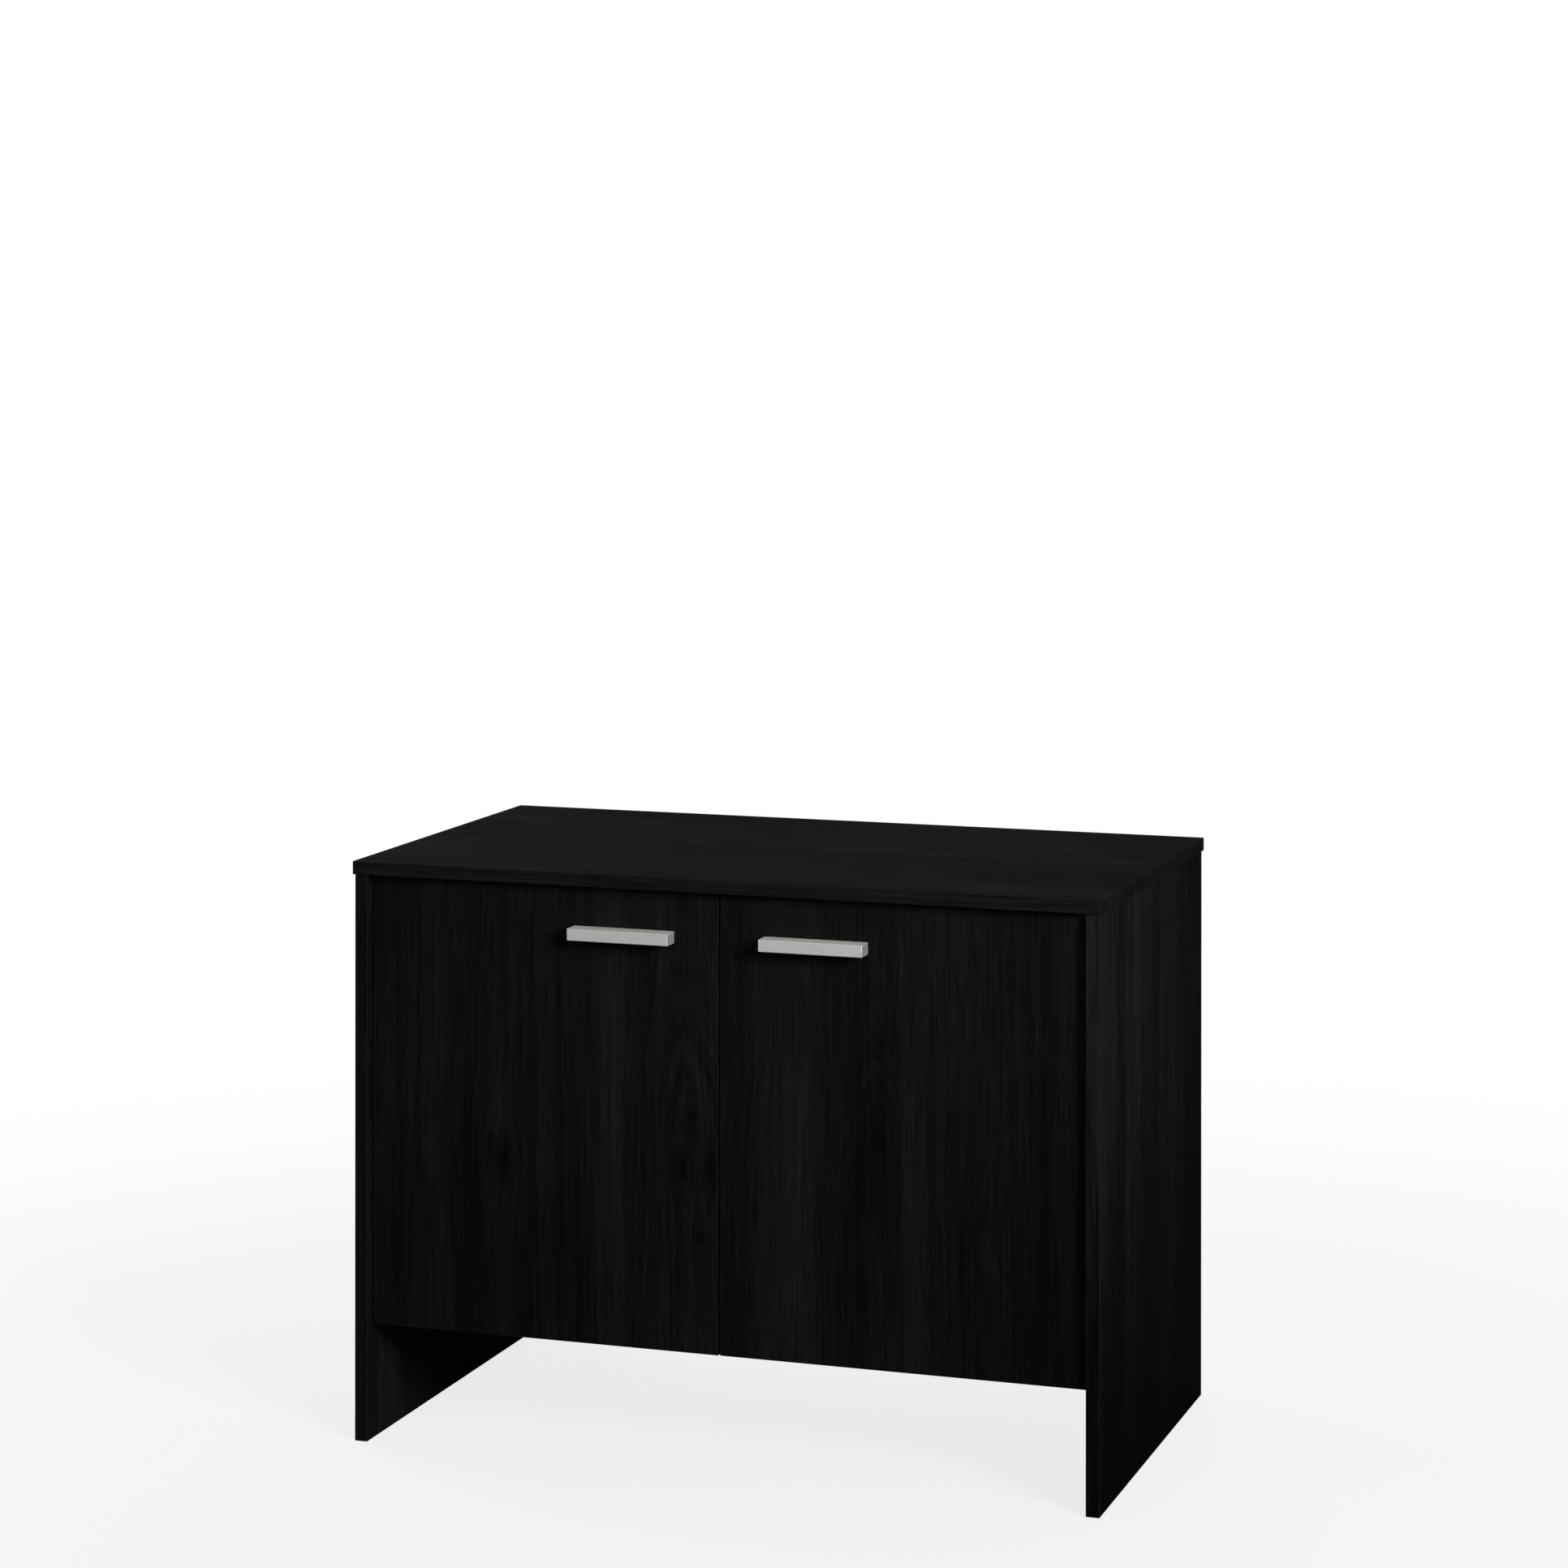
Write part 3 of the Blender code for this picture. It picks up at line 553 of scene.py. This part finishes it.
def smooth_group():
    """Smooth shading under 32 degrees, and flat above."""
    name = "shade_by_angle"
    if name in bpy.data.node_groups:
        return bpy.data.node_groups[name]
    group = bpy.data.node_groups.new(name, "GeometryNodeTree")
    group.interface.new_socket("Mesh", in_out="INPUT", socket_type="NodeSocketGeometry")
    group.interface.new_socket("Mesh", in_out="OUTPUT", socket_type="NodeSocketGeometry")
    start = group.nodes.new("NodeGroupInput")
    end = group.nodes.new("NodeGroupOutput")
    faces = group.nodes.new("GeometryNodeSetShadeSmooth")
    faces.domain = "FACE"
    edges = group.nodes.new("GeometryNodeSetShadeSmooth")
    edges.domain = "EDGE"
    angle = group.nodes.new("GeometryNodeInputMeshEdgeAngle")
    small = group.nodes.new("FunctionNodeCompare")
    small.data_type = "FLOAT"
    small.operation = "LESS_THAN"
    small.inputs[1].default_value = math.radians(32.0)
    group.links.new(start.outputs[0], faces.inputs[0])
    group.links.new(faces.outputs[0], edges.inputs[0])
    group.links.new(angle.outputs[0], small.inputs[0])
    group.links.new(small.outputs[0], edges.inputs["Shade Smooth"])
    group.links.new(edges.outputs[0], end.inputs[0])
    return group


X, Y, Z = 0, 1, 2
BOARDS = {
    "door_left": dict(
        along=Z,
        across=X,
        seed=3.1,
        bright=0.95,
        flames=((0.915, 0.66, 0.062, 0.17),),
        knots=(
            (0.350, 0.425, 0.0075),
            (0.385, 0.39, 0.0055),
            (0.90, 0.40, 0.0075),
            (0.975, 0.405, 0.0065),
            (0.925, 0.505, 0.0055),
            (0.945, 0.25, 0.0035),
        ),
        tone=(
            (0.18, 0.013, 0.13),
            (0.285, 0.026, -0.12),
            (0.44, 0.022, -0.08),
            (0.55, 0.004, -0.16),
            (0.70, 0.017, 0.15),
            (0.81, 0.012, -0.05),
        ),
        patches=(
            (0.27, 0.36, 0.042, 0.13, -0.12),
            (0.70, 0.52, 0.018, 0.15, 0.11),
            (0.13, 0.72, 0.030, 0.13, 0.05),
            (0.46, 0.12, 0.060, 0.06, -0.07),
            (0.05, 0.22, 0.030, 0.10, -0.06),
        ),
    ),
    "door_right": dict(
        along=Z,
        across=X,
        seed=8.6,
        bright=0.95,
        flames=((0.43, 0.66, 0.026, 0.15),),
        knots=((0.445, 0.70, 0.0030), (0.10, 0.32, 0.0030)),
        tone=(
            (0.05, 0.022, -0.12),
            (0.215, 0.024, 0.14),
            (0.37, 0.016, -0.14),
            (0.62, 0.036, -0.10),
            (0.84, 0.045, -0.21),
        ),
        patches=(
            (0.64, 0.68, 0.046, 0.10, -0.02),
            (0.93, 0.14, 0.050, 0.12, -0.12),
            (0.22, 0.42, 0.030, 0.18, 0.06),
            (0.42, 0.40, 0.022, 0.09, -0.09),
            (0.72, 0.34, 0.050, 0.07, -0.06),
        ),
    ),
    "side_panel_left": dict(
        along=Z, across=Y, seed=14.2, flames=((0.4, 0.6, 0.05, 0.2),), bright=1.05
    ),
    "side_panel_right": dict(
        along=Z,
        across=Y,
        seed=21.9,
        tone=(
            (0.0, 0.008, 0.12),
            (0.05, 0.012, 0.08),
            (0.20, 0.030, -0.07),
            (0.34, 0.018, 0.13),
            (0.50, 0.020, -0.11),
            (0.575, 0.006, 0.15),
            (0.70, 0.030, 0.11),
            (0.90, 0.040, -0.10),
        ),
        bright=1.34,
        # Painted shade: this side's foil darkens towards its bottom and rear, in place of light falling off
        # there.
        painted_shade_slope=(0.56, 0.14),
        shine=0.02,
    ),
    "top_panel": dict(along=X, across=Y, seed=27.3, flames=((0.55, 0.35, 0.07, 0.3), (0.3, 0.8, 0.05, 0.2))),
    "base_panel": dict(along=X, across=Y, seed=33.8, flames=((0.5, 0.4, 0.06, 0.3),)),
    "centre_divider": dict(along=Z, across=Y, seed=39.5, flames=((0.5, 0.4, 0.06, 0.3),)),
    "shelf_left": dict(along=X, across=Y, seed=45.1, flames=((0.45, 0.5, 0.06, 0.2),)),
    "shelf_right": dict(along=X, across=Y, seed=51.7, flames=((0.55, 0.5, 0.06, 0.2),)),
}
for node, settings in BOARDS.items():
    dress(node, board_material(node, **settings), edge=0.0007, segments=3)

dress("back_panel", hardboard_material("back_panel"), edge=0.0003)
for side in ("left", "right"):
    dress("handle_" + side, handle_material("handle_" + side), edge=0.00025)

PLATED = metal_material(
    "nickel_plate", (0.44, 0.43, 0.40), (0.66, 0.65, 0.62), 0.24, lines=(0.15, 0.15, 1.0)
)
CAST = metal_material("cast_zinc", (0.24, 0.24, 0.24), (0.44, 0.44, 0.43), 0.42, scale=260.0)
PEG = metal_material("pin_nickel", (0.36, 0.36, 0.35), (0.60, 0.60, 0.58), 0.30, scale=300.0)
CLEAR = rubber_material("bumper_polymer")
for node in NODES:
    if node.startswith("hinge_"):
        dress(node, PLATED, edge=0.00025 if "pin" not in node else 0.0001)
    elif node.startswith("handle_screw"):
        dress(node, PLATED, edge=0.00015)
    elif node.startswith("cam_lock"):
        dress(node, CAST, edge=0.0002)
    elif node.startswith("shelf_pin"):
        dress(node, PEG, edge=0.0002)
    elif node.startswith("door_bumper"):
        dress(node, CLEAR, edge=0.0003)

# ---- small fasteners that the solids leave out -------------------------------------------


def cross_head(radius, height, recess, sides=28):
    """A pan or countersunk screw head as a bmesh, face up at +Z, with a cross recess."""
    form = bmesh.new()
    profile = [
        (radius * 0.20, height * 1.00),
        (radius * 0.62, height * 0.93),
        (radius * 0.86, height * 0.72),
        (radius * 0.97, height * 0.42),
        (radius, height * 0.15),
        (radius * 0.97, 0.0),
    ]
    rings = []
    for r, h in profile:
        rings.append(
            [
                form.verts.new(
                    (
                        r * math.cos(2 * math.pi * i / sides),
                        r * math.sin(2 * math.pi * i / sides),
                        h,
                    )
                )
                for i in range(sides)
            ]
        )
    for upper, lower in zip(rings, rings[1:]):
        for i in range(sides):
            j = (i + 1) % sides
            form.faces.new((upper[i], lower[i], lower[j], upper[j]))
    form.faces.new(rings[0])
    form.faces.new(list(reversed(rings[-1])))
    bmesh.ops.recalc_face_normals(form, faces=form.faces)
    mesh = bpy.data.meshes.new("head")
    form.to_mesh(mesh)
    form.free()
    head = bpy.data.objects.new("head", mesh)
    bpy.context.scene.collection.objects.link(head)
    cutter_form = bmesh.new()
    for turn in (0.0, math.pi / 2):
        bmesh.ops.create_cube(
            cutter_form,
            size=1.0,
            matrix=Matrix.Rotation(turn, 4, "Z")
            @ Matrix.Translation((0, 0, height - recess / 2 + 0.001))
            @ Matrix.Diagonal((radius * 1.15, radius * 0.24, recess + 0.002, 1.0)),
        )
    cut_mesh = bpy.data.meshes.new("head_cut")
    cutter_form.to_mesh(cut_mesh)
    cutter_form.free()
    cutter = bpy.data.objects.new("head_cut", cut_mesh)
    bpy.context.scene.collection.objects.link(cutter)
    boolean = head.modifiers.new("recess", "BOOLEAN")
    boolean.operation = "DIFFERENCE"
    boolean.object = cutter
    boolean.solver = "EXACT"
    boolean.use_self = True
    bpy.context.view_layer.update()
    graph = bpy.context.evaluated_depsgraph_get()
    done = bpy.data.meshes.new_from_object(head.evaluated_get(graph))
    bpy.data.objects.remove(head, do_unlink=True)
    bpy.data.objects.remove(cutter, do_unlink=True)
    return done


def facing(point, normal):
    """Matrix that puts +Z along normal at a point in metres."""
    turn = Vector(normal).to_track_quat("Z", "Y").to_matrix().to_4x4()
    return Matrix.Translation(point) @ turn


def gather(name, mesh, places, material, body):
    """Copies of a mesh at several places, as one piece riding on a body."""
    form = bmesh.new()
    for index, place in enumerate(places):
        copy = mesh.copy()
        copy.transform(place @ Matrix.Rotation(0.7 * index, 4, "Z"))
        form.from_mesh(copy)
        bpy.data.meshes.remove(copy)
    made = bpy.data.meshes.new(name)
    form.to_mesh(made)
    form.free()
    made.materials.append(material)
    for poly in made.polygons:
        poly.use_smooth = True
    made.set_sharp_from_angle(angle=math.radians(40.0))
    obj = bpy.data.objects.new(name, made)
    bpy.context.scene.collection.objects.link(obj)
    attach(obj, body)
    return obj


PLATE_HEAD = cross_head(0.0033, 0.0013, 0.0009)
WING_HEAD = cross_head(0.0031, 0.0012, 0.0009)
LOCK_HEAD = cross_head(0.0028, 0.0016, 0.0011)
for side, sign in (("left", -1.0), ("right", 1.0)):
    for level in ("lower", "upper"):
        tag = f"{side}_{level}"
        plate_low, plate_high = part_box("hinge_plate_" + tag)
        arm_low, arm_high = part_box("hinge_arm_" + tag)
        cup_low, cup_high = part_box("hinge_cup_" + tag)
        mid_z = (plate_low.z + plate_high.z) / 2
        mid_y = plate_low.y + 0.019
        inward = (-sign, 0.0, 0.0)
        foot_x = sign * (0.414 - 0.0021)
        gather(
            "plate_screws_" + tag,
            PLATE_HEAD,
            [facing((foot_x, mid_y, mid_z + dz), inward) for dz in (-0.016, 0.016)],
            PLATED,
            "carcass",
        )
        face_x = arm_high.x if sign < 0 else arm_low.x
        bar_x = sign * (0.414 - 0.0130)
        gather(
            "arm_screws_" + tag,
            LOCK_HEAD,
            [
                facing((bar_x + sign * 0.0006, plate_low.y + dy, mid_z), inward)
                for dy in (0.015, 0.029)
            ],
            PLATED,
            "carcass",
        )
        cup_x = (cup_low.x + cup_high.x) / 2
        gather(
            "cup_screws_" + tag,
            WING_HEAD,
            [
                facing((cup_x, -0.2265 + 0.0163, mid_z + dz), (0.0, 1.0, 0.0))
                for dz in (-0.0225, 0.0225)
            ],
            PLATED,
            side + "_door",
        )

# Panel pins hold the back to the rear edges of the sides, base and divider.
back_low, back_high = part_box("back_panel")
NAIL = bmesh.new()
nail_profile = [(0.0006, 0.00045), (0.0012, 0.00035), (0.0015, 0.0001), (0.0015, -0.0002)]
nail_rings = [
    [
        NAIL.verts.new(
            (r * math.cos(2 * math.pi * i / 16), r * math.sin(2 * math.pi * i / 16), h)
        )
        for i in range(16)
    ]
    for r, h in nail_profile
]
for upper, lower in zip(nail_rings, nail_rings[1:]):
    for i in range(16):
        j = (i + 1) % 16
        NAIL.faces.new((upper[i], lower[i], lower[j], upper[j]))
NAIL.faces.new(nail_rings[0])
NAIL.faces.new(list(reversed(nail_rings[-1])))
bmesh.ops.recalc_face_normals(NAIL, faces=NAIL.faces)
nail_mesh = bpy.data.meshes.new("nail")
NAIL.to_mesh(nail_mesh)
NAIL.free()
spots = []
for i in range(6):
    z = back_low.z + 0.03 + i * (back_high.z - back_low.z - 0.06) / 5
    spots += [(-0.4215, z), (0.4215, z)]
    if 0 < i < 5:
        spots.append((0.0, z))
for i in range(1, 8):
    spots.append((-0.4215 + i * 0.843 / 8, back_low.z + 0.0075))
gather(
    "back_panel_pins",
    nail_mesh,
    [facing((x, back_high.y, z), (0.0, 1.0, 0.0)) for x, z in spots],
    CAST,
    "carcass",
)

# ---- floor, light and camera ----------------------------------------------------------

floor_mesh = bpy.data.meshes.new("floor")
floor_form = bmesh.new()
bmesh.ops.create_grid(floor_form, x_segments=1, y_segments=1, size=30.0)
floor_form.to_mesh(floor_mesh)
floor_form.free()
floor = bpy.data.objects.new("floor", floor_mesh)
bpy.context.scene.collection.objects.link(floor)
floor.location = (0.0, 0.0, -0.0003)

f = Tree("pale_floor")
rays = f.node("ShaderNodeLightPath")
spot = f.split(f.position())
reach = f.math(
    "SQRT", f.add(f.mul(spot[0], spot[0]), f.mul(spot[1], spot[1]))
)
lit = f.node("ShaderNodeBsdfDiffuse")
lit.inputs["Color"].default_value = (0.13, 0.13, 0.13, 1.0)
paper = f.node("ShaderNodeEmission")
paper.inputs["Color"].default_value = (0.80, 0.80, 0.80, 1.0)
seen = f.node("ShaderNodeAddShader")
f.put(seen.inputs[0], lit.outputs[0])
f.put(seen.inputs[1], paper.outputs[0])
unseen = f.node("ShaderNodeBsdfDiffuse")
unseen.inputs["Color"].default_value = (0.06, 0.06, 0.06, 1.0)
far = f.node("ShaderNodeEmission")
far.inputs["Color"].default_value = (1.0, 1.0, 1.0, 1.0)
near_mix = f.node("ShaderNodeMixShader")
f.put(near_mix.inputs[0], rays.outputs["Is Camera Ray"])
f.put(near_mix.inputs[1], unseen.outputs[0])
f.put(near_mix.inputs[2], seen.outputs[0])
far_mix = f.node("ShaderNodeMixShader")
f.put(
    far_mix.inputs[0],
    f.mul(rays.outputs["Is Camera Ray"], f.remap(reach, 0.75, 2.3, 0.0, 1.0, smooth=True)),
)
f.put(far_mix.inputs[1], near_mix.outputs[0])
f.put(far_mix.inputs[2], far.outputs[0])
f.put(f.out.inputs[0], far_mix.outputs[0])
floor_mesh.materials.append(f.material)

world = bpy.context.scene.world or bpy.data.worlds.new("studio")
bpy.context.scene.world = world
world.use_nodes = True
wt = world.node_tree
wt.nodes.clear()
w_out = wt.nodes.new("ShaderNodeOutputWorld")
w_rays = wt.nodes.new("ShaderNodeLightPath")
w_dim = wt.nodes.new("ShaderNodeBackground")
w_dim.inputs["Color"].default_value = (1.0, 1.0, 1.0, 1.0)
w_dim.inputs["Strength"].default_value = 0.050
w_white = wt.nodes.new("ShaderNodeBackground")
w_white.inputs["Color"].default_value = (1.0, 1.0, 1.0, 1.0)
w_white.inputs["Strength"].default_value = 1.0
w_mix = wt.nodes.new("ShaderNodeMixShader")
wt.links.new(w_rays.outputs["Is Camera Ray"], w_mix.inputs[0])
wt.links.new(w_dim.outputs[0], w_mix.inputs[1])
wt.links.new(w_white.outputs[0], w_mix.inputs[2])
wt.links.new(w_mix.outputs[0], w_out.inputs[0])


def area(name, place, aim, size, power, colour=(1.0, 1.0, 1.0), shiny=True):
    data = bpy.data.lights.new(name, "AREA")
    data.shape = "RECTANGLE"
    data.size, data.size_y = size
    data.energy = power
    data.color = colour
    lamp = bpy.data.objects.new(name, data)
    bpy.context.scene.collection.objects.link(lamp)
    lamp.location = place
    lamp.rotation_euler = (
        (Vector(aim) - Vector(place)).to_track_quat("-Z", "Y").to_euler()
    )
    lamp.visible_glossy = shiny
    return lamp


area("key", (3.35, -2.55, 2.05), (0.0, 0.0, 0.35), (1.5, 1.5), 190.0)
area("fill", (-0.9, -4.4, 1.9), (0.0, 0.0, 0.4), (2.2, 1.8), 22.0)
area("overhead", (0.2, 0.3, 3.4), (0.0, 0.0, 0.4), (2.0, 2.0), 16.0, shiny=False)
area("left", (-3.2, 1.3, 1.6), (-0.4, 0.0, 0.3), (1.6, 1.6), 60.0)
area("rear", (-0.7, 4.0, 1.7), (0.0, 0.2, 0.3), (2.2, 1.8), 90.0, shiny=False)

# The view is almost level, with the horizon well above the middle of the picture. The
# shift holds only where the camera stands at its own place.
STAND = (1.4491, -4.2867, 1.3129)
camera_data = bpy.data.cameras.new("camera")
camera = bpy.data.objects.new("camera", camera_data)
bpy.context.scene.collection.objects.link(camera)
bpy.context.scene.camera = camera
camera.location = STAND
camera.rotation_euler = (
    math.radians(90.0 - 0.076),
    math.radians(-0.037),
    math.radians(18.711),
)
camera_data.sensor_width = 36.0
camera_data.lens = 90.919
camera_data.shift_y = -0.32481
camera_data.clip_end = 200.0
shift = camera_data.driver_add("shift_y").driver
shift.type = "SCRIPTED"
where = shift.variables.new()
where.name = "x"
where.type = "TRANSFORMS"
where.targets[0].id = camera
where.targets[0].transform_type = "LOC_X"
where.targets[0].transform_space = "WORLD_SPACE"
shift.expression = "-0.32481 if abs(x - 1.4491) < 0.0005 else 0.0"

bpy.context.scene.view_settings.view_transform = "Standard"
bpy.context.scene.view_settings.look = "None"
bpy.context.scene.view_settings.exposure = 0.0
bpy.context.scene.view_settings.gamma = 1.0
